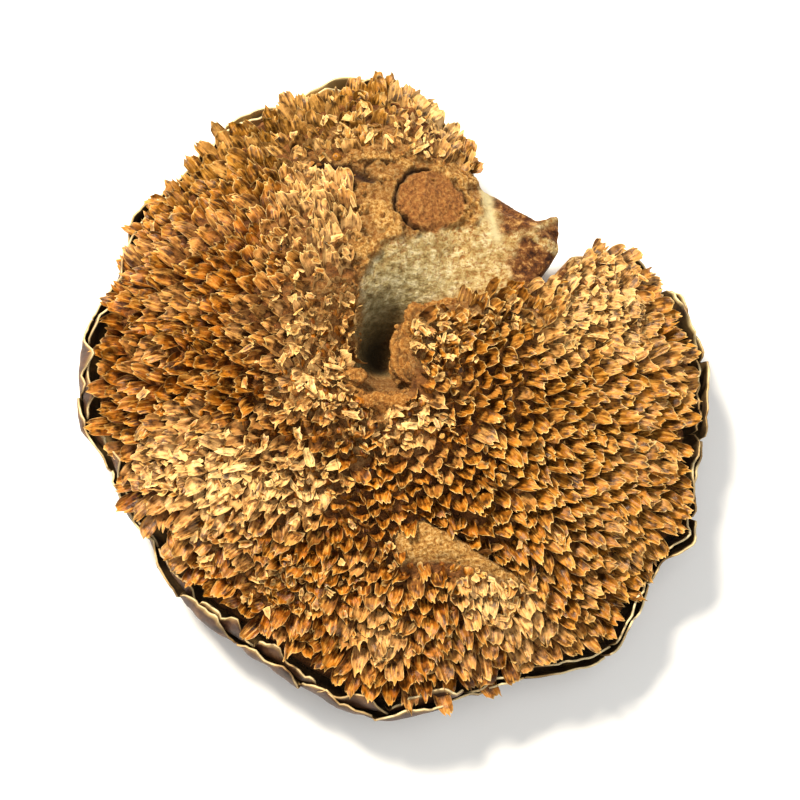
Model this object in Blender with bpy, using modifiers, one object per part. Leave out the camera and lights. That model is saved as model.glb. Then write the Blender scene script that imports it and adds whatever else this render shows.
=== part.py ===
"""A dried, empty sunflower seed head, lying on the flat cut of its stalk with its face up.

The head is one pithy plate (the receptacle) with a hole torn in its middle, a bed of papery
chaff scales over its face, and two whorls of leathery bracts round its edge.
Lengths are in millimetres and are turned into metres as each mesh is made.
The origin is the centre of the flat stalk cut, +Z is up.
"""

import math
import random

import bmesh
import bpy
from mathutils import Vector
from mathutils.geometry import delaunay_2d_cdt

MM = 0.001
GOLDEN_ANGLE = math.pi * (3 - math.sqrt(5))

# Edge of the head at its bracts: (degrees anticlockwise from +X, radius), the tear lies between the ends
RIM = [
    (67, 88), (72, 93), (78, 100), (84, 110), (90, 116), (96, 118), (108, 115), (120, 114), (132, 109),
    (144, 109), (156, 104), (168, 107), (180, 107), (186, 105), (192, 99), (204, 98), (210, 95), (216, 96),
    (228, 98), (240, 97), (252, 101), (264, 105), (270, 107), (276, 105), (288, 102), (300, 106), (312, 112),
    (324, 107), (330, 105), (336, 111), (342, 110), (348, 106), (354, 107), (360, 106), (368, 110), (376, 105),
    (381, 105), (386, 104), (390, 103), (393, 101), (396, 96), (400, 86),
]
TEAR_START, TEAR_END = RIM[-1][0] - 360, RIM[0][0]
REACH = 130.0  # from the hole, past every point of the edge
PLATE_INSET = 4.5  # the plate's edge lies this far inside the bracts' edge
CURL_SIDE, CURL_INSET = 220.0, 2.5  # towards here the bracts curl in, and the plate's edge lies further in
CHAFF_MARGIN = 1.2  # from the plate's edge to the chaff's
EDGE_STEP = 3.6  # degrees between points along the plate's edge
PLATE_PITCH, BACK_PITCH = 8.4, 13.0  # between points of its upper face and of its back

# Heights of the plate
RIM_TOP = 26.0
CREST = 47.0
PILLOW_POWER, PILLOW_ROUND = 2.6, 0.7
STALK_RADIUS, STALK_NECK = 20.0, 5.0
NECK_FLARE = 6.0
NECK_SIDES = 28
BACK_RISE = 12.0  # how much the back climbs from the neck to the edge
BACK_RIBS, RIB_DEPTH = 13, 1.1

# The hole and the torn, bare slope that runs from it to the edge
HOLE = (-3.0, 18.0)
HOLE_DEPTH, HOLE_WIDTH = 32.0, 10.0
SLOPE_LINE = [(-3.0, 18.0), (22.0, 42.0), (46.0, 54.0)]
SLOPE_DEPTH, SLOPE_WIDTH = 11.0, 15.0
CLIFF_WIDTH = 3.0
LOBE_EDGE = [
    (58.0, 49.0), (55.2, 41.5), (52.5, 37.5), (45.0, 37.5), (34.0, 35.0), (23.5, 31.5), (14.0, 29.5),
    (7.0, 27.0), (4.2, 22.0), (3.5, 15.0),
]
CLIFF_LINE = LOBE_EDGE + [(5.5, 6.0), (15.0, -8.0)]
BARE_EDGE = [
    (5.5, 7.0), (4.0, -1.0), (-1.0, -6.0), (-9.0, -5.0), (-15.0, 3.0), (-15.5, 13.0), (-13.5, 24.0),
    (-13.0, 37.0), (-14.5, 48.0), (-14.0, 60.0), (-13.0, 68.0), (-17.0, 75.0), (-27.0, 80.5), (-10.0, 85.0),
    (5.0, 85.5), (16.5, 84.0), (21.5, 79.5),
]
FLAP = [(37.8, 74.2), (44.0, 69.2), (50.5, 64.0), (58.5, 67.3), (57.3, 52.5)]
NOTCH_FOOT = [(48.5, 41.0), (51.8, 39.8)]
PATCH_CENTRE, PATCH_RADIUS, PATCH_RISE = (12.5, 69.0), 11.5, 1.6
PATCH_BEVEL, PATCH_SIDES = 1.5, 14

# Swellings and hollows of the warped plate: (x, y, height, spread)
SWELLINGS = [
    (-52.0, -28.0, 4.5, 17.0),  # straw-coloured fold at the lower left
    (-24.0, -30.0, 2.5, 14.0),
    (-28.0, 36.0, 3.5, 15.0),  # broken collar left of the hole
    (30.0, -62.0, 3.5, 14.0),  # bare tan hump below the crease
    (64.0, 26.0, 3.5, 18.0),  # broken crown of the right lobe
    (-10.0, -34.0, -6.0, 13.0),  # deep cells below the hole
    (-62.0, 22.0, -2.0, 20.0),
    (53.0, 62.0, 10.0, 10.0),  # the torn flap is bent up
]
CREASE = [(14.0, -39.0), (26.0, -49.0), (45.0, -59.0)]
CREASE_DEPTH, CREASE_WIDTH = 6.0, 3.0

# Chaff scales, raised from the plate in the order in which the florets grew
SCALE_PITCH = 6.0
SCALE_HEIGHT = (6.6, 9.2)
BROKEN_HEIGHT = (3.8, 6.4)
SCALE_LEAN = 2.2
CELL_FLOOR = 1.8
SIDE_HEIGHT = 2.9  # between a scale and its neighbour in the same row
ROW_STEPS = (8, 13, 21, 34, 55, 89)  # how many florets later a neighbour grew
BED_GAP = 0.6  # measured straight up, which leaves about 0.3 square to the steepest cliff
BROKEN_RADIUS = 40.0  # round the hole, where the scales are snapped short
EDGE_CLEARANCE = 0.42  # share of the pitch that a scale keeps from the bed's edge

# Bracts
BRACT_START, BRACT_END = 70.0, 398.0
BRACT_FADE = 26.0  # degrees over which the bracts grow from stubs beside the tear
BRACT_THICKNESS = 1.0
BRACT_ROOT = 15.0
BRACT_WHORLS = {
    "bracts_inner": {"count": 23, "gap": 0.8, "height": 18.5, "phase": 0.0},
    "bracts_outer": {"count": 22, "gap": 3.1, "height": 16.5, "phase": 0.5},
}
BRACT_COLUMNS = (-0.86, -0.5, 0.0, 0.5, 0.86, 1.0)
BRACT_ROWS = (0.0, 0.3, 0.65, 1.0)
BRACT_DIP = (112.0, 30.0, 0.35)  # at this side they are lower: middle, spread and share of the height
BRACT_WAVE = 1.2
BRACT_WAVES = 15.5
BRACT_SWELL = 1.8
BRACT_LEAN = (0.8, 3.0, 30.0)  # mean, swing and the side where they open widest
BRACT_REACH = 23.0
BRACT_POINT = 0.32  # how far a blade's edges drop below its tip, as a share of its height
TWIST_DEPTH = 0.3
NOTCH_HEIGHT = 0.3
SHARP_ANGLE = 50.0


def clear_scene():
    for obj in list(bpy.data.objects):
        bpy.data.objects.remove(obj, do_unlink=True)


def material(name, colour, roughness):
    made = bpy.data.materials.new(name)
    made.use_nodes = True
    shader = made.node_tree.nodes["Principled BSDF"]
    shader.inputs["Base Color"].default_value = (*colour, 1.0)
    shader.inputs["Roughness"].default_value = roughness
    shader.inputs["Metallic"].default_value = 0.0
    return made


def smoothstep(low, high, value):
    t = min(1.0, max(0.0, (value - low) / (high - low)))
    return t * t * (3 - 2 * t)


def rim_radius(degrees):
    """Radius of the head's edge, a smooth curve through RIM."""
    while degrees < TEAR_START:
        degrees += 360
    while degrees > TEAR_START + 360:
        degrees -= 360
    points = [(RIM[-1][0] - 360, RIM[-1][1])] + RIM
    for i in range(len(points) - 1):
        (a0, r0), (a1, r1) = points[i], points[i + 1]
        if a0 <= degrees <= a1:
            before = points[max(i - 1, 0)]
            after = points[min(i + 2, len(points) - 1)]
            t = (degrees - a0) / (a1 - a0)
            slope0 = (r1 - before[1]) / max(a1 - before[0], 1e-6) * (a1 - a0)
            slope1 = (after[1] - r0) / max(after[0] - a0, 1e-6) * (a1 - a0)
            return (
                (2 * t**3 - 3 * t**2 + 1) * r0
                + (t**3 - 2 * t**2 + t) * slope0
                + (3 * t**2 - 2 * t**3) * r1
                + (t**3 - t**2) * slope1
            )
    return points[-1][1]


def polar(x, y):
    return math.hypot(x, y), math.degrees(math.atan2(y, x)) % 360


def curl(degrees):
    """How much the bracts curl in at this side, from 0 to 1."""
    return smoothstep(0.1, 0.9, math.cos(math.radians(degrees - CURL_SIDE)))


def plate_radius(degrees):
    return rim_radius(degrees) - PLATE_INSET - CURL_INSET * curl(degrees)


def edge_point(degrees, out):
    """A place this far outside the plate's edge."""
    radius = plate_radius(degrees) + out
    angle = math.radians(degrees)
    return radius * math.cos(angle), radius * math.sin(angle)


def along_line(line, x, y):
    """(distance to the line, share of its length at the nearest place, side: positive on its left)."""
    lengths = [math.dist(a, b) for a, b in zip(line, line[1:])]
    best = (1e9, 0.0, 1.0)
    travelled = 0.0
    for (ax, ay), (bx, by), length in zip(line, line[1:], lengths):
        dx, dy = bx - ax, by - ay
        t = min(1.0, max(0.0, ((x - ax) * dx + (y - ay) * dy) / length**2))
        distance = math.hypot(x - ax - t * dx, y - ay - t * dy)
        side = dx * (y - ay) - dy * (x - ax)
        if distance < best[0] - 1e-9:
            best = (distance, (travelled + t * length) / sum(lengths), math.copysign(1.0, side))
        travelled += length
    return best


def bell(distance, spread):
    return math.exp(-0.5 * (distance / spread) ** 2)


def pillow(x, y):
    radius, degrees = polar(x, y)
    share = min(1.0, radius / plate_radius(degrees))
    return RIM_TOP + (CREST - RIM_TOP) * (1 - share**PILLOW_POWER) ** PILLOW_ROUND


def plate_top(x, y):
    """Height of the plate's upper face."""
    height = pillow(x, y)
    for sx, sy, rise, spread in SWELLINGS:
        height += rise * bell(math.hypot(x - sx, y - sy), spread)
    crease, share, _ = along_line(CREASE, x, y)
    height -= CREASE_DEPTH * math.sin(math.pi * (0.15 + 0.7 * share)) * bell(crease, CREASE_WIDTH)
    hollow = HOLE_DEPTH * bell(math.hypot(x - HOLE[0], y - HOLE[1]), HOLE_WIDTH)
    slope, share, _ = along_line(SLOPE_LINE, x, y)
    hollow += SLOPE_DEPTH * (1 - 0.75 * share) * smoothstep(0.0, 0.3, share) * bell(slope, SLOPE_WIDTH)
    cliff, _, side = along_line(CLIFF_LINE, x, y)
    height -= hollow * smoothstep(-0.2, CLIFF_WIDTH, -cliff * side)
    patch = math.hypot(x - PATCH_CENTRE[0], y - PATCH_CENTRE[1])
    return height + PATCH_RISE * (1 - smoothstep(PATCH_RADIUS - PATCH_BEVEL, PATCH_RADIUS, patch))


def plate_back(x, y):
    """Height of the plate's underside: the flat stalk cut, a short neck, and the ribbed back."""
    radius, degrees = polar(x, y)
    if radius <= STALK_RADIUS + 0.01:
        return 0.0
    neck_end = STALK_RADIUS + NECK_FLARE
    if radius <= neck_end:
        return STALK_NECK * (radius - STALK_RADIUS) / NECK_FLARE
    share = min(1.0, (radius - neck_end) / (plate_radius(degrees) - neck_end))
    ribs = RIB_DEPTH * math.cos(math.radians(degrees) * BACK_RIBS) * math.sin(math.pi * share)
    return STALK_NECK + BACK_RISE * share**1.3 + ribs


def circle(centre, radius, count):
    angles = [math.tau * i / count for i in range(count)]
    return [(centre[0] + radius * math.cos(a), centre[1] + radius * math.sin(a)) for a in angles]


def edge_arc(out, start, end):
    count = round((end - start) / EDGE_STEP)
    return [edge_point(start + (end - start) * i / count, out) for i in range(count + 1)]


def plate_outline():
    return edge_arc(0.0, TEAR_END, TEAR_START + 360) + NOTCH_FOOT[::-1] + FLAP[::-1]


def chaff_outline():
    """Loop round the chaff bed: the rim, the lobe's torn edge, round the hole and back up to the rim."""
    arc = edge_arc(-CHAFF_MARGIN, TEAR_END + 5, TEAR_START + 358)
    return arc + LOBE_EDGE[1:] + BARE_EDGE


def divided(loop, longest):
    """The closed loop with its long sides divided."""
    made = []
    for a, b in zip(loop, loop[1:] + loop[:1]):
        count = max(1, math.ceil(math.dist(a, b) / longest))
        made += [(a[0] + (b[0] - a[0]) * i / count, a[1] + (b[1] - a[1]) * i / count) for i in range(count)]
    return made


def inside(loop, x, y):
    found = False
    for (ax, ay), (bx, by) in zip(loop, loop[1:] + loop[:1]):
        if (ay > y) != (by > y) and x < (bx - ax) * (y - ay) / (by - ay) + ax:
            found = not found
    return found


def floret_lattice(pitch, reach):
    """Places of the florets: each one turns by the golden angle from the last, evenly spaced at pitch."""
    spread = pitch * math.sqrt(math.sqrt(3) / 2 / math.pi)
    count = int((reach / spread) ** 2)
    for n in range(count):
        radius = spread * math.sqrt(n + 0.5)
        angle = n * GOLDEN_ANGLE
        yield HOLE[0] + radius * math.cos(angle), HOLE[1] + radius * math.sin(angle), angle


def clear_of(points, x, y, distance):
    return all(math.dist(p, (x, y)) > distance for p in points)


def triangulate(points, loops):
    """Triangles over the points, keeping each loop's sides. A loop is a list of indices into points."""
    edges = [(a, b) for loop in loops for a, b in zip(loop, loop[1:] + loop[:1])]
    coordinates = [Vector(p) for p in points]
    flat, _, faces, origins, _, _ = delaunay_2d_cdt(coordinates, edges, [], 1, 1e-6)
    order = [min(o) if o else None for o in origins]
    if None in order:
        raise ValueError("two sides of the outlines cross")
    triangles = []
    for face in faces:
        a, b, c = (flat[i] for i in face)
        turn = (b - a).cross(c - a)
        ids = [order[i] for i in face]
        triangles.append(ids if turn > 0 else ids[::-1])
    return triangles


def finished_object(name, build, finish, collection):
    """An object from a bmesh, which this frees."""
    mesh = bpy.data.meshes.new(name)
    build.to_mesh(mesh)
    build.free()
    mesh.materials.append(finish)
    mesh.shade_smooth()
    mesh.set_sharp_from_angle(angle=math.radians(SHARP_ANGLE))
    obj = bpy.data.objects.new(name, mesh)
    collection.objects.link(obj)
    return obj


def closed_object(name, vertices, faces, finish, collection):
    """A closed body from points in millimetres."""
    build = bmesh.new()
    made = [build.verts.new(Vector(v) * MM) for v in vertices]
    for face in faces:
        build.faces.new([made[i] for i in face])
    bmesh.ops.recalc_face_normals(build, faces=build.faces[:])
    return finished_object(name, build, finish, collection)


def wall(lower, upper):
    """Triangles between two loops of the same length."""
    faces = []
    for i in range(len(lower)):
        j = (i + 1) % len(lower)
        faces += [(lower[i], lower[j], upper[j]), (lower[i], upper[j], upper[i])]
    return faces


def face_layout():
    """Plan of the upper face, which the chaff bed's foot shares: points, triangles and both loops."""
    outline = plate_outline()
    chaff = divided(chaff_outline(), SCALE_PITCH)
    points = outline + chaff
    loops = [list(range(len(outline))), list(range(len(outline), len(points)))]
    foot = [(x - 0.3 * CLIFF_WIDTH, y + CLIFF_WIDTH) for x, y in LOBE_EDGE[3:8]]
    foot += [(x - 1.1 * CLIFF_WIDTH, y + 1.0) for x, y in LOBE_EDGE[8:]]
    radii = (PATCH_RADIUS - PATCH_BEVEL, PATCH_RADIUS)
    rings = [circle(PATCH_CENTRE, radius, PATCH_SIDES) for radius in radii]
    for spot in foot + rings[0] + rings[1]:
        if inside(outline, *spot) and clear_of(points, *spot, 1.2):
            points.append(spot)
    for x, y, _ in floret_lattice(PLATE_PITCH, REACH):
        share = 0.3 if math.dist((x, y), HOLE) < 2 * HOLE_WIDTH else 0.5
        if inside(outline, x, y) and clear_of(points, x, y, PLATE_PITCH * share):
            points.append((x, y))
    return points, triangulate(points, loops), loops[0], loops[1]


def back_layout(outline):
    """Plan of the plate's underside, with the stalk cut's circle in it."""
    points = list(outline)
    loops = [list(range(len(outline)))]
    for radius in (STALK_RADIUS, STALK_RADIUS + NECK_FLARE):
        loops.append(list(range(len(points), len(points) + NECK_SIDES)))
        points += circle((0, 0), radius, NECK_SIDES)
    for x, y, _ in floret_lattice(BACK_PITCH, REACH):
        if math.hypot(x, y) > STALK_RADIUS + NECK_FLARE and inside(outline, x, y):
            if clear_of(points, x, y, BACK_PITCH * 0.5):
                points.append((x, y))
    return points, triangulate(points, loops)


def make_receptacle(layout, finish, collection):
    face, triangles, outline, _ = layout
    back, back_triangles = back_layout([face[i] for i in outline])
    first = len(face)
    vertices = [(x, y, plate_top(x, y)) for x, y in face] + [(x, y, plate_back(x, y)) for x, y in back]
    faces = [tuple(t) for t in triangles]
    faces += [tuple(i + first for i in reversed(t)) for t in back_triangles]
    faces += wall([i + first for i in range(len(outline))], outline)
    return closed_object("receptacle", vertices, faces, finish, collection)


def row_neighbour(florets, number):
    """The nearest later floret that stands beside this one rather than further out."""
    x, y, angle = florets[number]
    best, found = 1.5 * SCALE_PITCH, None
    for step in ROW_STEPS:
        if number + step < len(florets):
            other = florets[number + step]
            dx, dy = other[0] - x, other[1] - y
            distance = math.hypot(dx, dy)
            outward = dx * math.cos(angle) + dy * math.sin(angle)
            if distance < best and outward < 0.72 * distance:
                best, found = distance, other
    return found


def scale_height(x, y, draw):
    """Height of one chaff scale, snapped short near the hole."""
    whole = smoothstep(BROKEN_RADIUS * 0.6, BROKEN_RADIUS, math.dist((x, y), HOLE))
    low = BROKEN_HEIGHT[0] + (SCALE_HEIGHT[0] - BROKEN_HEIGHT[0]) * whole
    high = BROKEN_HEIGHT[1] + (SCALE_HEIGHT[1] - BROKEN_HEIGHT[1]) * whole
    return draw.uniform(low, high)


def make_chaff_bed(layout, finish, collection):
    """Foot a little above the plate, and a relief of pointed scales that lean away from the hole."""
    points, triangles, _, loop = layout
    draw = random.Random(7)
    rim_loop = [points[i] for i in loop]
    middles = [[sum(points[i][axis] for i in t) / 3 for axis in (0, 1)] for t in triangles]
    foot_faces = [t for t, middle in zip(triangles, middles) if inside(rim_loop, *middle)]
    used = sorted({i for t in foot_faces for i in t})
    place = {old: new for new, old in enumerate(used)}
    vertices = [(*points[i], plate_top(*points[i]) + BED_GAP) for i in used]
    faces = [tuple(place[i] for i in reversed(t)) for t in foot_faces]

    top_plan = list(rim_loop)
    top = [(x, y, plate_top(x, y) + BED_GAP + CELL_FLOOR + draw.uniform(0.5, 3.0)) for x, y in rim_loop]
    margin = SCALE_PITCH * EDGE_CLEARANCE
    florets = list(floret_lattice(SCALE_PITCH, REACH))
    for number, (x, y, angle) in enumerate(florets):
        outward = (math.cos(angle), math.sin(angle))
        cell = (x + outward[0] * SCALE_PITCH / 2, y + outward[1] * SCALE_PITCH / 2)
        beside = row_neighbour(florets, number)
        spots = [((x, y), scale_height(x, y, draw), SCALE_LEAN), (cell, CELL_FLOOR, 0.0)]
        if beside:
            spots.append((((x + beside[0]) / 2, (y + beside[1]) / 2), SIDE_HEIGHT, 0.3))
        for spot, rise, lean in spots:
            if not inside(rim_loop, *spot) or not clear_of(rim_loop, *spot, margin):
                continue
            top_plan.append(spot)
            top.append((
                spot[0] + outward[0] * lean,
                spot[1] + outward[1] * lean,
                plate_top(*spot) + BED_GAP + rise,
            ))
    first = len(vertices)
    relief = triangulate(top_plan, [list(range(len(rim_loop)))])
    faces += [tuple(i + first for i in t) for t in relief]
    faces += wall([place[i] for i in loop], [first + i for i in range(len(rim_loop))])
    return closed_object("chaff_bed", vertices + top, faces, finish, collection)


def bract_bulge(degrees, rise):
    """How far a whorl stands out at a share of its height. It curls in at the lower left and opens elsewhere."""
    lean = BRACT_LEAN[0] + BRACT_LEAN[1] * math.cos(math.radians(degrees - BRACT_LEAN[2]))
    swell = BRACT_SWELL * math.sin(math.pi * rise * 0.8)
    return swell + CURL_INSET * curl(degrees) * math.sin(math.pi * rise**0.75) + lean * rise**2


def make_bracts(name, count, gap, height, phase, finish, collection):
    """One whorl: a band round the plate's edge that rises into a waved, pointed blade for each bract."""
    draw = random.Random(name)
    dip_side, dip_spread, dip_depth = BRACT_DIP
    pitch = (BRACT_END - BRACT_START) / (count + phase)
    columns = []
    for number in range(count):
        middle = BRACT_START + pitch * (number + phase + 0.5)
        grown = smoothstep(0.0, BRACT_FADE, min(middle - BRACT_START, BRACT_END - middle))
        tall = height * draw.uniform(0.8, 1.08) * (0.45 + 0.55 * grown)
        tall *= 1 - dip_depth * bell(middle - dip_side, dip_spread)
        twist = draw.uniform(-1.0, 1.0)
        for share in BRACT_COLUMNS:
            crown = NOTCH_HEIGHT if share == 1.0 else 1 - BRACT_POINT * abs(share) ** 2.2
            columns.append((middle + pitch * share / 2, tall * crown, twist * share))
    sheet = bmesh.new()
    rows = []
    for row in BRACT_ROWS:
        rows.append([])
        for degrees, tall, twist in columns:
            rise = tall * row / BRACT_REACH
            wave = BRACT_WAVE * math.sin(math.radians(degrees) * BRACT_WAVES) * rise
            out = gap + wave + TWIST_DEPTH * twist * row + bract_bulge(degrees, rise)
            x, y = edge_point(degrees, out)
            rows[-1].append(sheet.verts.new(Vector((x, y, BRACT_ROOT + tall * row)) * MM))
    for lower, upper in zip(rows, rows[1:]):
        for column in range(len(columns) - 1):
            a, b = lower[column : column + 2]
            d, c = upper[column : column + 2]
            sheet.faces.new((a, b, c))
            sheet.faces.new((a, c, d))
    obj = finished_object(name, sheet, finish, collection)
    thicken = obj.modifiers.new("bract thickness", "SOLIDIFY")
    thicken.thickness = BRACT_THICKNESS * MM
    thicken.offset = 1.0
    return obj


def main():
    clear_scene()
    head = bpy.data.collections.new("sunflower_seed_head")
    bpy.context.scene.collection.children.link(head)
    pith = material("dry_pith", (0.60, 0.43, 0.20), 0.9)
    chaff = material("golden_chaff", (0.50, 0.24, 0.06), 0.55)
    bract = material("brown_bract", (0.16, 0.08, 0.035), 0.65)
    layout = face_layout()
    make_receptacle(layout, pith, head)
    make_chaff_bed(layout, chaff, head)
    for name, whorl in BRACT_WHORLS.items():
        make_bracts(name, whorl["count"], whorl["gap"], whorl["height"], whorl["phase"], bract, head)


main()
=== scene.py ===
# A dried sunflower head with its seeds gone, lying face up on a pale table, seen from above.
# Shapes are worked out in millimetres and turned into metres when a mesh is made.
import functools
import math

import bmesh
import bpy
import numpy as np
from mathutils import Matrix, Vector


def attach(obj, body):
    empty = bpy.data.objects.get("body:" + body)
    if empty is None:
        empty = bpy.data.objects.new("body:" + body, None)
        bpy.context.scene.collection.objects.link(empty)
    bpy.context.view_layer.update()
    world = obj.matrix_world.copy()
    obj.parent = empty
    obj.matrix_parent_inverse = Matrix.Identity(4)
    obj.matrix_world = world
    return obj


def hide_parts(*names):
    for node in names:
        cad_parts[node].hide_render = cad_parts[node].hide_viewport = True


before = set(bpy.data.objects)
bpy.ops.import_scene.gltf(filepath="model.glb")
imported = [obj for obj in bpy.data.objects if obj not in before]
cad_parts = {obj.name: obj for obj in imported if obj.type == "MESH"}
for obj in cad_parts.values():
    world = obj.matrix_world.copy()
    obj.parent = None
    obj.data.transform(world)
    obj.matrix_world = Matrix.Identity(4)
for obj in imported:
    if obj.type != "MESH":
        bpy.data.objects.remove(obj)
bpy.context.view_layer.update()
mm = 0.001
goldenAngle = math.pi * (3 - math.sqrt(5))

print("camera, table and light")

view = {
    "aim": (2, -0.7, 36),
    "azimuth": -22,
    "elevation": 78,
    "lens": 85,
    "sensor": 36,
    "widthSeen": 272,  # mm across the picture at the height of the face
}

lamps = {
    "window": {"place": (-0.55, 0.62, 1.15), "size": 0.3, "power": 38, "colour": "#fff4e2"},
    "ceiling": {"place": (0.25, -0.3, 1.6), "size": 1.4, "power": 13, "colour": "#ffffff"},
}
room = {"colour": "#fdfcf8", "strength": 0.38, "tableWidth": 6}


def linear(colour):  # sRGB hex to linear
    values = [int(colour[i : i + 2], 16) / 255 for i in (1, 3, 5)]
    return [v / 12.92 if v <= 0.04045 else ((v + 0.055) / 1.055) ** 2.4 for v in values] + [1]


def makeCamera():
    elevation = math.radians(view["elevation"])
    back = Vector((0, -math.cos(elevation), math.sin(elevation)))
    back.rotate(Matrix.Rotation(math.radians(view["azimuth"]), 3, "Z"))
    right = Vector((0, 1, 0)).cross(back).normalized()
    turn = Matrix((right, back.cross(right), back)).transposed().to_4x4()
    data = bpy.data.cameras.new("camera")
    data.lens, data.sensor_width = view["lens"], view["sensor"]
    distance = view["widthSeen"] * view["lens"] / view["sensor"]
    camera = bpy.data.objects.new("camera", data)
    camera.matrix_world = Matrix.Translation((Vector(view["aim"]) + back * distance) * mm) @ turn
    bpy.context.collection.objects.link(camera)
    bpy.context.scene.camera = camera


def addNode(tree, kind, inputs=None, stops=None, take=0, **settings):  # returns the output that is taken
    node = tree.nodes.new("ShaderNode" + kind)
    for name, value in settings.items():
        setattr(node, name, value)
    for name, value in (inputs or {}).items():
        if isinstance(value, bpy.types.NodeSocket):
            tree.links.new(value, node.inputs[name])
        else:
            node.inputs[name].default_value = value
    if stops:
        ramp = node.color_ramp.elements
        while len(ramp) < len(stops):
            ramp.new(1)
        for element, (place, colour) in zip(ramp, stops):
            element.position = place
            element.color = linear(colour) if isinstance(colour, str) else (colour, colour, colour, 1)
    return node.outputs[take]


def newMaterial(name, attributes=(), **values):  # and its adder of nodes, and the place and values that it reads
    made = bpy.data.materials.new(name)
    made.use_nodes = True
    for socket, value in values.items():
        made.node_tree.nodes["Principled BSDF"].inputs[socket.replace("_", " ")].default_value = value
    add = functools.partial(addNode, made.node_tree)
    read = {key: add("Attribute", take="Fac", attribute_name=key) for key in attributes}
    read["place"] = add("TexCoord", take="Object")
    return made, add, read


def layered(add, colour, *layers):  # a layer is its share, its colour and, unless it only covers, how it blends
    for share, top, *how in layers:
        colour = add(
            "Mix", {"Factor": share, 6: colour, 7: linear(top) if isinstance(top, str) else top},
            take=2, data_type="RGBA", blend_type=how[0] if how else "MIX",
        )
    return colour


def finished(made, colour, height, strength, depth):  # with its colour and its bumps, depth in mm
    tree = made.node_tree
    bumps = addNode(tree, "Bump", {"Height": height, "Strength": strength, "Distance": depth * mm})
    for socket, source in (("Base Color", colour), ("Normal", bumps)):
        tree.links.new(source, tree.nodes["Principled BSDF"].inputs[socket])
    return made


def makeTable():
    # matt white paper: no sheen, so the table stays plain
    paper, _, _ = newMaterial("whitePaper", Base_Color=linear("#fafaf8"), Roughness=0.95)
    bpy.ops.mesh.primitive_plane_add(size=room["tableWidth"])
    table = bpy.context.object
    table.name = "table"
    table.data.materials.append(paper)


def makeLight():
    for name, lamp in lamps.items():
        data = bpy.data.lights.new(name, "AREA")
        data.size, data.energy, data.color = lamp["size"], lamp["power"], linear(lamp["colour"])[:3]
        made = bpy.data.objects.new(name, data)
        made.location = lamp["place"]
        made.rotation_euler = Vector(lamp["place"]).to_track_quat("Z", "Y").to_euler()
        bpy.context.collection.objects.link(made)
    world = bpy.data.worlds.new("paleRoom")
    world.use_nodes = True
    for socket, value in (("Color", linear(room["colour"])), ("Strength", room["strength"])):
        world.node_tree.nodes["Background"].inputs[socket].default_value = value
    bpy.context.scene.world = world
    bpy.context.scene.view_settings.view_transform = "Standard"  # keeps the golden colours as strong as they are


makeCamera()
makeTable()
makeLight()

print("shape of the head")

head = {
    "rim": [  # degrees round the head and radius of its edge, from one side of the tear to the other
        (67, 88), (72, 93), (78, 100), (84, 110), (90, 116), (96, 118), (108, 115), (120, 114), (132, 109),
        (144, 109), (156, 104), (168, 107), (180, 107), (186, 105), (192, 99), (204, 98), (210, 95), (216, 96),
        (228, 98), (240, 97), (252, 101), (264, 105), (270, 107), (276, 105), (288, 102), (300, 106), (312, 112),
        (324, 107), (330, 105), (336, 111), (342, 110), (348, 106), (354, 107), (360, 106), (368, 110), (376, 105),
        (381, 105), (386, 104), (390, 103), (393, 101), (396, 96), (400, 86),
    ],
    "inset": 4.5,  # from there to the plate's edge
    "curl": (220, 2.5),  # the side where the bracts curl in, and how much further in the plate's edge is
    "rimTop": 26,
    "crest": 47,
    "pillow": (2.6, 0.7),
    "stalk": (20, 5, 6),  # radius of the cut, height and flare of the neck
    "backRise": 12,
    "ribs": (13, 1.1),
    "hole": (-3, 18),
    "holeDepth": (32, 10),
    "slopeLine": [(-3, 18), (22, 42), (46, 54)],
    "slopeDepth": (11, 15),
    "cliffWidth": 3,
    "lobeEdge": [
        (58, 49), (55.2, 41.5), (52.5, 37.5), (45, 37.5), (34, 35), (23.5, 31.5), (14, 29.5),
        (7, 27), (4.2, 22), (3.5, 15),
    ],
    "cliffEnd": [(5.5, 6), (15, -8)],
    "bareEdge": [
        (5.5, 7), (4, -1), (-1, -6), (-9, -5), (-15, 3), (-15.5, 13), (-13.5, 24),
        (-13, 37), (-14.5, 48), (-14, 60), (-13, 68), (-17, 75), (-27, 80.5), (-10, 85),
        (5, 85.5), (16.5, 84), (21.5, 79.5),
    ],
    "flap": [(37.8, 74.2), (44, 69.2), (50.5, 64), (58.5, 67.3), (57.3, 52.5)],
    "notchFoot": [(48.5, 41), (51.8, 39.8)],
    "swellings": [
        (-52, -28, 4.5, 17), (-24, -30, 2.5, 14), (-28, 36, 3.5, 15), (30, -62, 3.5, 14),
        (64, 26, 3.5, 18), (-10, -34, -6, 13), (-62, 22, -2, 20), (53, 62, 10, 10),
    ],
    "crease": [(14, -39), (26, -49), (45, -59)],
    "creaseDepth": (6, 3),
    "patch": (12.5, 69, 11.5),  # corky disc: middle and radius
    "bractZones": [(110, 8), (175.5, 10), (252, 25), (310, 10), (356, 23)],  # middle, half width
    "cutBack": 3.6,  # there the chaff ends this much further in and leaves the bracts in sight
    "tearLip": (70, 5, 5.5),  # beside the tear the chaff hangs over: middle, spread, mm
    "bareRidge": [  # tan and worn bare, along the lower side of the crease
        (-1, -47), (11.6, -42.5), (20.8, -47), (29.3, -53.3), (43, -61), (41.2, -65), (25.9, -58.5),
        (15.6, -56.5), (2, -57),
    ],
}


def ease(low, high, value):  # smoothly from 0 at low to 1 at high
    t = np.clip((value - low) / (high - low), 0, 1)
    return t * t * (3 - 2 * t)


def bell(distance, spread):
    return np.exp(-0.5 * (distance / spread) ** 2)


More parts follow.
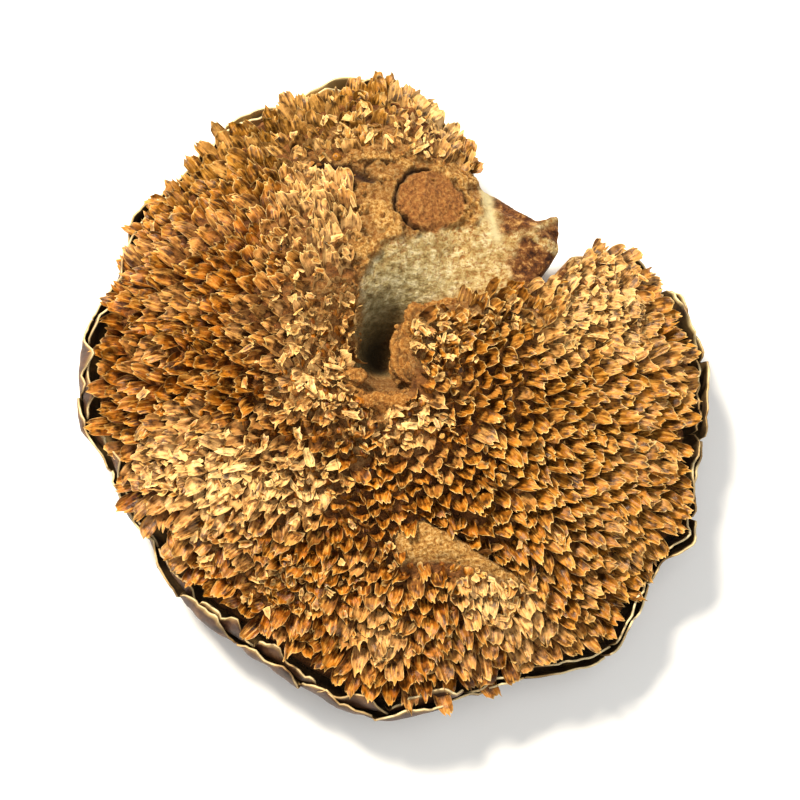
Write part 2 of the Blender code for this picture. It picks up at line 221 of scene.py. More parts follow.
def rimRadius(degrees):
    lastAngle, lastRadius = head["rim"][-1]
    angles, radii = np.array([(lastAngle - 360, lastRadius)] + head["rim"], float).T
    degrees = (degrees - angles[0]) % 360 + angles[0]
    i = np.clip(np.searchsorted(angles, degrees, "right") - 1, 0, len(angles) - 2)
    before, after = np.maximum(i - 1, 0), np.minimum(i + 2, len(angles) - 1)
    step = angles[i + 1] - angles[i]
    t = (degrees - angles[i]) / step
    slope0 = (radii[i + 1] - radii[before]) / (angles[i + 1] - angles[before]) * step
    slope1 = (radii[after] - radii[i]) / (angles[after] - angles[i]) * step
    straight = (2 * t**3 - 3 * t**2 + 1) * radii[i] + (t**3 - 2 * t**2 + t) * slope0
    return straight + (3 * t**2 - 2 * t**3) * radii[i + 1] + (t**3 - t**2) * slope1


def bearing(x, y):
    return np.degrees(np.arctan2(y, x))


def curlShare(degrees):
    return ease(0.1, 0.9, np.cos(np.radians(degrees - head["curl"][0])))


def plateRadius(degrees):
    return rimRadius(degrees) - head["inset"] - head["curl"][1] * curlShare(degrees)


def edgePoint(degrees, out):  # a place this far outside the plate's edge
    radius = plateRadius(degrees) + out
    return radius * np.cos(np.radians(degrees)), radius * np.sin(np.radians(degrees))


def alongLine(line, x, y):  # distance, share of the length, side (positive on the left)
    lengths = [math.dist(a, b) for a, b in zip(line, line[1:])]
    distance, share, side = np.full(np.shape(x), 1e9), np.zeros(np.shape(x)), np.ones(np.shape(x))
    travelled = 0
    for (ax, ay), (bx, by), length in zip(line, line[1:], lengths):
        dx, dy = bx - ax, by - ay
        t = np.clip(((x - ax) * dx + (y - ay) * dy) / length**2, 0, 1)
        away = np.hypot(x - ax - t * dx, y - ay - t * dy)
        nearer = away < distance - 1e-9
        distance = np.where(nearer, away, distance)
        share = np.where(nearer, (travelled + t * length) / sum(lengths), share)
        side = np.where(nearer, np.where(dx * (y - ay) - dy * (x - ax) >= 0, 1, -1), side)
        travelled += length
    return distance, share, side


def leftOf(line, x, y):  # distance from the line, negative on its right
    distance, _, side = alongLine(line, x, y)
    return distance * side


def plateTop(x, y):
    radius, degrees = np.hypot(x, y), bearing(x, y)
    share = np.clip(radius / plateRadius(degrees), 0, 1)
    power, roundness = head["pillow"]
    height = head["rimTop"] + (head["crest"] - head["rimTop"]) * (1 - share**power) ** roundness
    for sx, sy, rise, spread in head["swellings"]:
        height = height + rise * bell(np.hypot(x - sx, y - sy), spread)
    crease, share, _ = alongLine(head["crease"], x, y)
    depth, width = head["creaseDepth"]
    height = height - depth * np.sin(math.pi * (0.15 + 0.7 * share)) * bell(crease, width)
    return height - hollowDepth(x, y)


def hollowDepth(x, y):  # the torn hole and the bare slope that runs up from it
    depth, width = head["holeDepth"]
    hollow = depth * bell(np.hypot(x - head["hole"][0], y - head["hole"][1]), width)
    slope, share, _ = alongLine(head["slopeLine"], x, y)
    depth, width = head["slopeDepth"]
    hollow = hollow + depth * (1 - 0.75 * share) * ease(0, 0.3, share) * bell(slope, width)
    return hollow * ease(-0.2, head["cliffWidth"], -leftOf(head["lobeEdge"] + head["cliffEnd"], x, y))


def plateBack(x, y):
    radius, degrees = np.hypot(x, y), bearing(x, y)
    cut, neck, flare = head["stalk"]
    count, depth = head["ribs"]
    share = np.clip((radius - cut - flare) / (plateRadius(degrees) - cut - flare), 0, 1)
    ribs = depth * np.cos(np.radians(degrees) * count) * np.sin(math.pi * share)
    outer = neck + head["backRise"] * share**1.3 + ribs
    return np.where(radius < cut + flare, neck * np.clip((radius - cut) / flare, 0, 1), outer)


def bractShown(degrees):
    shown = 0 * degrees
    for middle, half in head["bractZones"]:
        away = np.abs((degrees - middle + 180) % 360 - 180)
        shown = np.maximum(shown, 1 - ease(half, half + 7, away))
    return shown


def edgeArc(start, end, out=None):  # places along the plate's edge, or as far outside it as out says
    degrees = np.linspace(start, end, round((end - start) / 3.6) + 1)
    x, y = edgePoint(degrees, out(degrees) if out else 0)
    return list(zip(x.tolist(), y.tolist()))


def chaffReach(degrees):  # how far outside the plate's edge the chaff starts
    middle, spread, lip = head["tearLip"]
    return 0.7 - head["cutBack"] * bractShown(degrees) + lip * bell(degrees - middle, spread)


tearStart, tearEnd = head["rim"][-1][0] - 360, head["rim"][0][0]
plateLoop = edgeArc(tearEnd, tearStart + 360) + head["notchFoot"][::-1] + head["flap"][::-1]
chaffLoop = edgeArc(tearEnd + 3, tearStart + 359, chaffReach) + head["lobeEdge"][1:] + head["bareEdge"]


def inside(loop, x, y):
    found = np.zeros(np.shape(x), bool)
    for (ax, ay), (bx, by) in zip(loop, loop[1:] + loop[:1]):
        if ay != by:
            found ^= ((ay > y) != (by > y)) & (x < (bx - ax) * (y - ay) / (by - ay) + ax)
    return found


def withinBy(loop, x, y):  # how far inside the loop, negative outside
    return np.where(inside(loop, x, y), 1, -1) * alongLine(loop + loop[:1], x, y)[0]


def onChaff(x, y, inset, ridge=0):  # this far inside the chaff's edge and off the bare ridge
    return (withinBy(chaffLoop, x, y) > inset) & (withinBy(head["bareRidge"], x, y) < ridge)


def patchNoise(x, y, size, seed):  # smooth random values from -1 to 1, with patches of about size mm
    grid = np.random.default_rng(seed).uniform(-1, 1, (257, 257))
    u, v = x / size + 128, y / size + 128
    i, j = np.floor(u).astype(int) % 256, np.floor(v).astype(int) % 256
    a, b = u - np.floor(u), v - np.floor(v)
    a, b = a * a * (3 - 2 * a), b * b * (3 - 2 * b)
    low = grid[i, j] * (1 - a) + grid[i + 1, j] * a
    high = grid[i, j + 1] * (1 - a) + grid[i + 1, j + 1] * a
    return low * (1 - b) + high * b


def noises(x, y, *layers):  # a layer is its strength, the size of its patches and its seed
    return sum(strength * patchNoise(x, y, size, seed) for strength, size, seed in layers)


def placeValue(places, x, y):  # places are (x, y, spread, amount)
    value = np.zeros(np.shape(x))
    for px, py, spread, amount in places:
        value = np.maximum(value, amount * bell(np.hypot(x - px, y - py), spread))
    return value


def newPiece(mesh, slot, *replaced):
    piece = bpy.data.objects.new(mesh.name, mesh)
    bpy.context.collection.objects.link(piece)
    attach(piece, "root")
    if replaced:
        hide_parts(*replaced)
    return piece


def setAttributes(mesh, values):
    for name, value in values.items():
        vector = np.ndim(value) > 1 and value.shape[-1] == 3
        made = mesh.attributes.new(name, "FLOAT_VECTOR" if vector else "FLOAT", "POINT")
        flat = np.ascontiguousarray(value, np.float32).ravel()
        made.data.foreach_set("vector" if vector else "value", flat)


def meshFrom(name, points, faces, values, *finishes):
    mesh = bpy.data.meshes.new(name)
    mesh.from_pydata((points.reshape(-1, 3) * mm).tolist(), [], faces)
    setAttributes(mesh, values)
    mesh.shade_smooth()
    for finish in finishes:
        mesh.materials.append(finish)
    printSize(name, mesh)
    return mesh


def printSize(name, mesh):
    print("  " + name + ":", sum(len(face.vertices) - 2 for face in mesh.polygons), "triangles")


def gridFaces(count, rows, columns):
    i, j = np.meshgrid(np.arange(rows - 1), np.arange(columns - 1), indexing="ij")
    first = (i * columns + j).ravel()
    quad = np.stack([first, first + 1, first + columns + 1, first + columns], -1)
    return (quad[None] + (np.arange(count) * rows * columns)[:, None, None]).reshape(-1, 4).tolist()


print("chaff")

chaff = {
    "pitch": 5.1,
    "reach": 130,
    "length": (10.8, 1.1),
    "brokenLength": (5.4, 1.4),
    "halfWidth": 3.45,
    "sink": 1,
    "rows": [0, 0.14, 0.28, 0.42, 0.55, 0.67, 0.78, 0.87, 0.94, 1],
    "columns": [-1, -0.92, -0.74, -0.55, -0.37, -0.18, 0, 0.18, 0.37, 0.55, 0.74, 0.92, 1],
    "crown": [0.62, 0.71, 0.82, 0.84, 0.83, 0.92, 1, 0.92, 0.83, 0.84, 0.82, 0.71, 0.62],  # three teeth
    "trough": 80,  # how far each side folds in, degrees
    "lean": (35, 62),  # from the plate's normal, near the hole and at the rim
    "upright": 18,  # less lean where the bracts show
    "crumple": (0.85, 1.15),  # mm, whole and broken
    "innerShare": 0.66,  # of the plate's radius, where the first piece ends
}

brokenPlaces = [  # where the scales are snapped: x, y, spread, amount
    (-15, 48, 5, 0.6), (-24, 76, 8, 0.6), (-10, 78, 6, 0.6), (-20, 24, 10, 0.9), (-27, 2, 9, 1), (-35, 43, 8, 0.4),
    (-12, 91, 8, 0.8), (8, 91, 7, 0.9), (24, 82, 6, 1), (66, 38, 11, 1), (60, 26, 8, 0.6), (76, 26, 8, 0.6),
    (0, -10, 8, 1), (-12, -14, 7, 0.7), (31, -66, 7, 0.7), (40, 27, 7, 0.5), (12, 18, 8, 0.9), (26, 28, 6, 0.7),
    (-84, -22, 7, 0.2), (-70, -27, 8, 0.4), (-54, -29, 8, 0.5), (-38, -31, 8, 0.6), (-26, -28, 6, 0.6),
    (-8, -70, 9, 0.4), (-40, -66, 12, 0.5), (-60, -52, 10, 0.5),
]
openPlaces = [  # cells seen into
    (-6, -38, 12, 1), (24, -6, 15, 0.8), (44, 4, 13, 0.6), (10, -22, 10, 0.7), (-32, 90, 14, 0.5),
]
palePlaces = [
    (66, 38, 12, 0.7), (78, 27, 9, 0.4), (56, 20, 7, 0.4), (0, 93, 9, 0.15), (24, 84, 8, 0.25), (-24, 52, 10, 0.6),
    (-37, 24, 8, 0.45), (15, 97, 8, 0.8),
    (-26, 5, 9, 1), (-30, 20, 7, 0.8), (2, -9, 7, 0.9), (-54, -28, 10, 1), (-72, -25, 9, 0.8), (-32, -30, 8, 1),
    (30, -64, 5, 1), (36, -72, 5, 0.7), (-4, -78, 7, 0.5), (-16, 32, 9, 0.9), (44, -72, 8, 0.4), (-22, 74, 8, 0.8),
]

brightPlaces = [(25, -5, 45, 1), (-22, 52, 22, 1.2), (-22, 18, 20, 1.2)]  # where the torn edges are brightest


def goldenShare(x, y):  # yellower towards the right and along the top edge
    return np.maximum(0.3 * ease(-30, 70, x + 0.4 * y), 0.54 * ease(66, 98, y - 0.25 * x))


def floretPlaces(pitch, reach):
    spread = pitch * math.sqrt(math.sqrt(3) / 2 / math.pi)
    n = np.arange(int((reach / spread) ** 2))
    angle = n * goldenAngle
    radius = spread * np.sqrt(n + 0.5)
    return head["hole"][0] + radius * np.cos(angle), head["hole"][1] + radius * np.sin(angle), angle


def unit(vectors):
    return vectors / np.linalg.norm(vectors, axis=-1, keepdims=True)


def surfaceFrame(x, y, angle, flatness):
    step = 1.5
    nx = -(plateTop(x + step, y) - plateTop(x - step, y)) / (2 * step)
    ny = -(plateTop(x, y + step) - plateTop(x, y - step)) / (2 * step)
    normal = unit(np.stack([nx * flatness, ny * flatness, np.ones_like(nx)], -1))
    outward = np.stack([np.cos(angle), np.sin(angle), np.zeros_like(angle)], -1)
    outward = unit(outward - normal * np.sum(outward * normal, -1, keepdims=True))
    return normal, outward, np.cross(normal, outward)


def moved(base, *moves):  # each move is a distance for each point and a direction for each scale
    points = np.stack(base, -1)[:, None, None, :]
    for distance, way in moves:
        points = points + distance[..., None] * way[:, None, None, :]
    return points


def growScales():  # every scale's points and values, in the order in which the florets grew
    x, y, angle = floretPlaces(chaff["pitch"], chaff["reach"])
    kept = onChaff(x, y, 0.5, 0.5)
    x, y, angle = x[kept], y[kept], angle[kept]
    draw = np.random.default_rng(11)
    count = len(x)
    each = (count, 1, 1)
    x, y = x + draw.normal(0, 0.25, count), y + draw.normal(0, 0.25, count)
    broken = np.clip(placeValue(brokenPlaces, x, y) + 0.3 * patchNoise(x, y, 9, 3) - 0.05, 0, 1)
    opened = placeValue(openPlaces, x, y)
    pale = np.clip(placeValue(palePlaces, x, y) + 0.25 * patchNoise(x, y, 7, 4), 0, 1)
    outwards = np.clip(np.hypot(x, y) / 100, 0, 1)
    shown = bractShown(bearing(x, y))
    swirl = noises(x, y, (12, 22, 5), (11, 7.5, 6)) + draw.normal(0, 12 + 24 * broken, count)
    normal, outward, tangent = surfaceFrame(x, y, angle + np.radians(swirl), 0.75)
    inner, outer = chaff["lean"]
    lean = inner + (outer - inner) * ease(0.15, 0.75, outwards)
    lean = lean + noises(x, y, (9, 14, 8), (8, 6.5, 10)) - 4 * opened + 16 * pale
    lean = lean + draw.normal(0, 8 + 10 * broken, count)
    lean = lean - chaff["upright"] * shown * ease(0.8, 0.95, outwards)
    lean = np.radians(lean).reshape(each)
    length = draw.normal(*chaff["length"], count) * (1 - broken) + draw.normal(*chaff["brokenLength"], count) * broken
    length = length * (1 - 0.16 * ease(0.85, 0.97, outwards) * (1 - shown))
    length = np.maximum(length - opened + 0.9 * patchNoise(x, y, 16, 9), 2.8).reshape(each)
    half = chaff["halfWidth"] * draw.normal(1, 0.08, each)
    rows, columns = np.array(chaff["rows"]), np.array(chaff["columns"])
    teeth, skew = draw.uniform(0.3, 1.5, (count, 1)), draw.normal(0, 0.12, (count, 1))
    crown = 1 - (1 - np.array(chaff["crown"])) * teeth + skew * columns + draw.normal(0, 0.045, (count, len(columns)))
    ragged = draw.uniform(0.5, 1.05, (count, len(columns)))
    ragged = 0.6 * ragged + 0.4 * np.roll(ragged, 1, 1)
    crown = crown * (1 - broken[:, None]) + ragged * broken[:, None]
    crown = crown * (1 - 0.28 * (draw.uniform(0, 1, (count, 1)) < 0.16) * draw.uniform(0, 1, crown.shape))
    u = rows[None, :, None] * crown[:, None, :]
    v = np.broadcast_to(columns, u.shape)
    tipCurl = np.radians(draw.normal(0, 16, each))
    tilt = lean * (0.35 + 0.72 * u) + tipCurl * ease(0.6, 1, u)
    step = np.diff(u * length, axis=1, prepend=0)
    middle = (tilt + np.concatenate([tilt[:, :1], tilt[:, :-1]], 1)) / 2
    centreN, centreO = np.cumsum(np.cos(middle) * step, 1), np.cumsum(np.sin(middle) * step, 1)
    width = half * (0.72 + 0.30 * np.sin(math.pi * np.clip(u / 0.95, 0, 1)) - 0.1 * ease(0.8, 1, u))
    closed = draw.uniform(0.62, 1.15, each) - (0.05 * opened + 0.25 * pale).reshape(each)
    fold = math.radians(chaff["trough"]) * (1 - 0.25 * u) * closed
    radius = width / fold
    phase = draw.uniform(0, 60, (3, *each))
    low, high = chaff["crumple"]
    crumple = (low + (high - low) * broken.reshape(each)) * ease(0.1, 0.6, u)
    crease = patchNoise(v * 1.5 + phase[0], u * 2.6 + phase[1], 1, 12)
    crease = crease + 0.5 * patchNoise(v * 3.4 + phase[1], u * 4 + phase[2], 1, 13)
    sideCrease = patchNoise(v * 1.2 + phase[2], u * 2.2 + phase[0], 1, 14)
    pleat = draw.uniform(0.08, 0.34, each) * np.cos(v * draw.uniform(5, 9.5, each) + phase[0])
    pleat = pleat * ease(0.15, 0.6, u)
    sideways = radius * np.sin(v * fold) + 0.9 * crumple * sideCrease
    inwards = radius * (1 - np.cos(v * fold)) + crumple * crease + pleat
    points = moved(
        [x, y, plateTop(x, y) - chaff["sink"]], (centreN + inwards * np.sin(tilt), normal),
        (centreO - inwards * np.cos(tilt), outward), (sideways, tangent),
    )
    edge = np.zeros(u.shape)
    edge[:, -1, :] = 1
    edge[:, :, [0, -1]] = np.maximum(edge[:, :, [0, -1]], ease(0.2, 0.6, u[:, :, [0, -1]]))
    edge = edge * (0.38 + 0.57 * placeValue(brightPlaces, x, y)).reshape(each)
    lot = draw.uniform(0, 1, count)
    spun = np.stack([sideways + 40 * lot.reshape(each), length * u, 90 * lot.reshape(each) + 0 * u], -1)
    whole = {"pale": pale, "lot": lot, "golden": goldenShare(x, y)}
    values = {name: np.broadcast_to(value.reshape(each), u.shape) for name, value in whole.items()}
    # foldShade is painted shade: darker brown towards the folded sides of each scale
    return x, y, points, {"along": u, "foldShade": 0.4 * np.abs(v) ** 1.5, "edge": edge, "fibre": spun, **values}


def makeScales(finish):
    x, y, points, values = growScales()
    middle = np.hypot(x, y) / plateRadius(bearing(x, y)) < chaff["innerShare"]
    for name, chosen in (("chaffMiddle", middle), ("chaffBorder", ~middle)):
        faces = gridFaces(chosen.sum(), len(chaff["rows"]), len(chaff["columns"]))
        mesh = meshFrom(name, points[chosen], faces, {key: value[chosen] for key, value in values.items()}, finish)
        newPiece(mesh, "chaff", "chaff_bed")


scraps = {
    "count": 800,
    "length": (2, 5),
    "width": (1.2, 2.8),
    "rows": 5,
    "columns": 5,
    "bare": 0.04,  # chance of a scrap where the scales are whole
    "straws": 30,  # long flat ones in the pale band at the lower left and beside the hole
}
strawPlaces = [
    (-84, -20, 6), (-74, -25, 6), (-62, -27, 6), (-52, -31, 7), (-40, -32, 7), (-30, -29, 5), (-27, 4, 6),
    (-24, -6, 5), (-30, 74, 7), (0, -8, 5), (30, -62, 6), (64, 36, 8), (-50, -45, 9),
]


def makeScraps(finish):
    draw = np.random.default_rng(23)
    x, y = draw.uniform(-112, 112, (2, 40000))
    wanted = np.maximum(placeValue(brokenPlaces, x, y), placeValue(palePlaces, x, y))
    kept = (withinBy(chaffLoop, x, y) > 1) & (draw.uniform(0, 1, len(x)) < scraps["bare"] + wanted)
    places = np.stack([x, y], -1)[kept][: scraps["count"]].tolist()
    for i in range(scraps["straws"]):
        px, py, spread = strawPlaces[i % len(strawPlaces)]
        places.append([px + draw.normal(0, spread), py + draw.normal(0, spread)])
    x, y = np.array(places).T
    straw = np.arange(len(x)) >= len(x) - scraps["straws"]
    kept = onChaff(x, y, np.where(straw, 3.5, 1))
    x, y, straw = x[kept], y[kept], straw[kept]
    count = len(x)
    each = (count, 1, 1)
    wanted = np.clip(np.maximum(placeValue(brokenPlaces, x, y), placeValue(palePlaces, x, y)), 0, 1)
    length = np.where(straw, draw.uniform(4, 7.5, count), draw.uniform(*scraps["length"], count)).reshape(each)
    width = np.where(straw, draw.uniform(1.7, 3, count), draw.uniform(*scraps["width"], count)).reshape(each)
    turn = np.arctan2(y - head["hole"][1], x - head["hole"][0]) + draw.normal(0, 0.9, count)
    normal, outward, tangent = surfaceFrame(x, y, turn, 0.7)
    pitchUp = np.radians(np.where(straw, draw.normal(6, 9, count), draw.normal(38, 26, count)))[:, None]
    rolled = np.radians(draw.normal(0, 30, count) * np.where(straw, 0.5, 1))[:, None]
    lengthwise = outward * np.cos(pitchUp) + normal * np.sin(pitchUp)
    across = tangent * np.cos(rolled) + np.cross(lengthwise, tangent) * np.sin(rolled)
    faceOut = np.cross(lengthwise, across)
    lift = 5.2 - 2.3 * wanted + draw.normal(0, 0.8, count) + np.where(straw, 1.6, 0)
    a = np.linspace(-1, 1, scraps["rows"])[None, :, None]
    b = np.linspace(-1, 1, scraps["columns"])[None, None, :]
    torn = 1 + draw.normal(0, 0.16, (count, scraps["rows"], scraps["columns"]))
    taper = 1 - 0.45 * ease(0.2, 1, a * draw.choice([-1, 1], each))
    curve, bow = draw.uniform(-0.1, 0.75, each), draw.normal(0, 0.13, each)
    along, sideways = a * torn * length / 2, b * torn * taper * width / 2
    height = curve * b**2 * width / 2 + bow * a**2 * length / 2 + draw.normal(0, 0.09, torn.shape)
    points = moved([x, y, plateTop(x, y) + lift], (along, lengthwise), (sideways, across), (height, faceOut))
    edge = 0.57 * (np.maximum(np.abs(a), np.abs(b)) >= 0.99)
    lot = draw.uniform(0, 1, each) + 0 * torn
    paleness = np.clip(0.1 + 0.7 * wanted + np.where(straw, 0.5, 0) + draw.normal(0, 0.25, count), 0, 1)
    # foldShade is painted shade: darker brown towards each scrap's curled sides
    values = {
        "along": 0.55 + 0.4 * (a + 1) / 2, "foldShade": 0.24 * b**2, "edge": edge, "lot": lot,
        "pale": paleness.reshape(each), "golden": goldenShare(x, y).reshape(each),
    }
    values = {name: np.broadcast_to(value, torn.shape) for name, value in values.items()}
    values["fibre"] = np.stack([sideways + 40 * lot, along, 90 * lot], -1)
    faces = gridFaces(count, scraps["rows"], scraps["columns"])
    newPiece(meshFrom("chaffScraps", points, faces, values, finish), "chaff")


def chaffPaper():
    # sun-dried chaff: papery and half glossy and amber, with painted shade towards each scale's base and along its
    # folded sides, painted highlights on its palest streaks, and cream along its torn edges
    made, add, read = newMaterial(
        "sunDriedChaff", ("along", "golden", "lot", "foldShade", "pale", "edge"),
        Roughness=0.4, IOR=1.45, Specular_IOR_Level=0.42,
    )
    fibre = add("Attribute", take="Vector", attribute_name="fibre")
    # painted shade: the amber darkens towards each scale's base, deep among its neighbours
    body = add(
        "ValToRGB", {"Fac": read["along"]},
        stops=[(0, "#3c1802"), (0.28, "#733806"), (0.58, "#a15b0e"), (0.85, "#be7519"), (1, "#cf8d2b")],
    )
    longFibre = add("Mapping", {"Vector": fibre, "Scale": (1.25, 0.2, 1)})
    streaks = add(  # fibres about 0.8 mm apart, coarser than life so that they show
        "TexNoise", {"Vector": longFibre, "Scale": 1, "Detail": 4, "Roughness": 0.6}
    )
    blotches = add("TexNoise", {"Vector": fibre, "Scale": 0.36, "Detail": 3})  # about 3 mm across
    blotches = add("Math", {0: blotches, 1: 1.25, 2: -0.14}, operation="MULTIPLY_ADD")
    mixed = add("Math", {0: streaks, 1: 1.05, 2: blotches}, operation="MULTIPLY_ADD")
    shades = add("MapRange", {"Value": mixed, "From Min": 0.7, "From Max": 1.3})
    shades = add("ValToRGB", {"Fac": shades}, stops=[(0.1, 0.14), (0.38, 0.5), (0.58, 0.95), (0.8, 1)])
    lot = add("MapRange", {"Value": read["lot"], "To Min": 0.72, "To Max": 1.22})
    paintedGloss = add(  # painted highlights, laid where the streaks are palest
        "MapRange", {"Value": streaks, "From Min": 0.5238, "From Max": 0.6286, "To Max": 0.6}
    )
    bleach = add("MapRange", {"Value": mixed, "From Min": 0.82, "From Max": 1.12, "To Min": 0.1})
    bleach = add("Math", {0: bleach, 1: read["pale"]}, operation="MULTIPLY")
    body = layered(
        add, body, (read["golden"], "#a97c2a"), (1, shades, "MULTIPLY"), (1, lot, "MULTIPLY"),
        (read["foldShade"], "#5f2f0a"), (paintedGloss, "#dba148"), (bleach, "#f2c680"), (read["edge"], "#f4d084"),
    )
    return finished(made, body, mixed, 0.8, 0.6)


sockets = {"out": 0.42, "radius": 1.9, "rise": 1.5, "sides": 10, "rings": 3}  # out: share of the pitch


def makeSockets(finish):  # the rounded floor of each cell, where a seed sat
    x, y, angle = floretPlaces(chaff["pitch"], chaff["reach"])
    x, y = (place + chaff["pitch"] * sockets["out"] * way(angle) for place, way in ((x, np.cos), (y, np.sin)))
    kept = onChaff(x, y, 1.5)
    x, y = x[kept], y[kept]
    draw = np.random.default_rng(31)
    count, sides, rings = len(x), sockets["sides"], sockets["rings"]
    ring = np.linspace(0, 1, rings + 1)[None, 1:, None]
    turn = np.linspace(0, math.tau, sides, endpoint=False)
    radius = sockets["radius"] * draw.uniform(0.85, 1.15, (count, 1, 1)) * ring
    radius = radius * (1 + draw.normal(0, 0.08, (count, 1, sides)))
    rise = sockets["rise"] * draw.uniform(0.4, 1.3, (count, 1, 1)) * (1 - ring**2)
    px, py = x[:, None, None] + radius * np.cos(turn), y[:, None, None] + radius * np.sin(turn)
    around = np.stack([px, py, plateTop(px, py) + 0.1 + rise], -1).reshape(count, -1, 3)
    top = np.stack([x, y, plateTop(x, y) + 0.1 + rise[:, 0, 0] * 1.1], -1)[:, None, :]
    points = np.concatenate([top, around], 1)
    j = np.arange(sides)
    after = (j + 1) % sides
    fan = np.stack([0 * j, 1 + j, 1 + after], -1)
    walls = np.concatenate([
        1 + sides * k + np.stack([j, sides + j, sides + after, after], -1) for k in range(rings - 1)
    ])
    each = 1 + sides * rings
    first = (np.arange(count) * each)[:, None, None]
    faces = (fan[None] + first).reshape(-1, 3).tolist() + (walls[None] + first).reshape(-1, 4).tolist()
    lot, along = (np.repeat(draw.uniform(low, high, count), each) for low, high in ((0, 1), (0.35, 0.75)))
    flat = points.reshape(-1, 3)
    golden = goldenShare(flat[:, 0], flat[:, 1])
    values = {"lot": lot, "along": along, "golden": golden, "fibre": flat + 3 * lot[:, None]}
    newPiece(meshFrom("seedSockets", points, faces, values, finish), "chaff", "chaff_bed")


paper = chaffPaper()
makeScales(paper)
makeSockets(paper)
makeScraps(paper)

print("receptacle")

plate = {
    "voxel": 1.17,
    "edge": 1.3,  # mm inside the outline where the faces start
    "crustLine": [  # the brown crust lies on the left of this line, the bare pith on its right
        (-15, 33), (-11, 39.5), (-7.5, 48), (-3, 52.5), (6, 56), (14, 59), (28, 62.5),
        (30.5, 67.5), (31, 76), (32, 82),
    ],
    "flapLine": [(35.5, 79), (36, 72.5), (37.1, 59.3), (44.6, 58.1), (38.5, 48.6), (41.5, 38)],
    "trench": [(-28.5, 80.8), (-18, 80), (-8, 75)],
    "trenchSize": (3.6, 1.2),  # depth of the cracks, and half width of the trench
    "cornerRib": [(46.5, 58), (51.5, 62), (58, 66)],
    "lobeRim": [(30, 33.5), (23.5, 31.5), (14, 29.5), (7, 27), (4.2, 22), (3.5, 15), (5.5, 6)],
    "deepHole": (0, 21, 5.5, 6),  # x, y, extra depth, spread
    "ridgeRise": 3.4,  # of the bare ridge, up to the middle of the scales round it
    "creamRib": [(33, 76), (34.2, 66), (35.5, 58)],
}


def crustShare(x, y):
    return ease(-1.6, 1.2, leftOf(plate["crustLine"], x, y) + 1.3 * patchNoise(x, y, 3.5, 51)) * (y > 25)


def patchAway(x, y):  # distance outside the corky disc
    px, py, radius = head["patch"]
    return np.hypot(x - px, y - py) - radius + noises(x, y, (1.7, 5.5, 52), (0.7, 2, 57))


def crackShare(x, y):  # round the disc, strongest on its left, and branching through the crust
    away = patchAway(x, y)
    ring = bell(away - 0.5, 0.55) * ease(-0.5, 0.4, patchNoise(x, y, 9, 56) - 0.04 * (x - 12) + 0.1)
    branch = np.abs(noises(x, y, (1, 8, 53), (0.35, 3, 54)))
    branch = (1 - ease(0, 0.11, branch)) * ease(-0.25, 0.35, patchNoise(x, y, 13, 55))
    branch = branch * (1 - ease(0.5, -3, away)) * 0.8
    trench = bell(alongLine(plate["trench"], x, y)[0], plate["trenchSize"][1])
    crease = 0.9 * bell(alongLine(head["bareRidge"][1:5], x, y)[0] + 0.6 * patchNoise(x, y, 3, 65), 0.8)
    return np.clip(np.maximum.reduce([np.maximum(ring, branch) * crustShare(x, y), trench, crease]), 0, 1)


def crustBlocks(x, y):  # chunks of crust about 5 mm across, from 0 between them to 1
    return ease(-0.35, 0.25, noises(x, y, (1, 5, 58), (0.5, 1.8, 59)))


def topDetail(x, y):
    disc = 1 - ease(-1.2, 0.4, patchAway(x, y))
    crust = crustShare(x, y)
    rim = bell(alongLine(plate["lobeRim"], x, y)[0], 2.5)
    lumps = noises(x, y, (0.5, 3.6, 31), (0.4, 1.5, 32), (0.35, 0.95, 33))
    pith = noises(x, y, (0.7, 7, 34), (0.32, 2.4, 35), (0.22, 1.1, 36))
    hx, hy, extra, spread = plate["deepHole"]
    corner = 0.9 * bell(alongLine(plate["cornerRib"], x, y)[0], 1.2)
    flap = ease(-1.5, 1.5, leftOf(plate["flapLine"], x, y)) * (x > 34)
    rimmed = 0.7 * ease(12, 8, withinBy(plateLoop, x, y)) * patchNoise(x, y, 2.6, 38)
    furrows = rimmed + 1.3 * flap * patchNoise(x * 0.62 + y * 0.78, (y * 0.62 - x * 0.78) * 0.25, 1.5, 37)
    height = 0.6 + (2.1 * crustBlocks(x, y) + 1.3 * lumps) * (1 - disc) + disc * (1.2 + 0.8 * lumps)
    height = crust * height + (1 - crust) * pith
    height = height - plate["trenchSize"][0] * crackShare(x, y) - extra * bell(np.hypot(x - hx, y - hy), spread)
    ridge = ease(-2.5, 4, withinBy(head["bareRidge"], x, y)) * (plate["ridgeRise"] + 1.3 * lumps)
    return height + rim * (lumps + 0.8) + corner + furrows + ridge


def backDetail(x, y):
    radius, angle = np.hypot(x, y), bearing(x, y)
    wrinkles = 0.5 * patchNoise(angle * 0.9, radius * 0.35, 3.5, 41) + 0.3 * patchNoise(x, y, 5, 42)
    return wrinkles * ease(head["stalk"][0] + 1, head["stalk"][0] + 8, radius)


def placesOf(parts, key):  # in mm, one row for each x, y and z
    places = np.empty(len(parts) * 3)
    parts.foreach_get(key, places)
    return (places.reshape(-1, 3) / mm).T


def halveTornFaces(mesh):  # finer faces where nothing covers the plate
    x, y, z = placesOf(mesh.vertices, "co")
    degrees = bearing(x, y)
    torn = (withinBy(chaffLoop, x, y) < 2) & ((np.hypot(x, y) < 55) | ((degrees > 28) & (degrees < 112)))
    torn = (torn | (withinBy(head["bareRidge"], x, y) > -2)) & (z > (plateTop(x, y) + plateBack(x, y)) / 2)
    build = bmesh.new()
    build.from_mesh(mesh)
    edges = [edge for edge in build.edges if torn[edge.verts[0].index] and torn[edge.verts[1].index]]
    bmesh.ops.subdivide_edges(build, edges=edges, cuts=1, use_grid_fill=True)
    build.to_mesh(mesh)
    build.free()


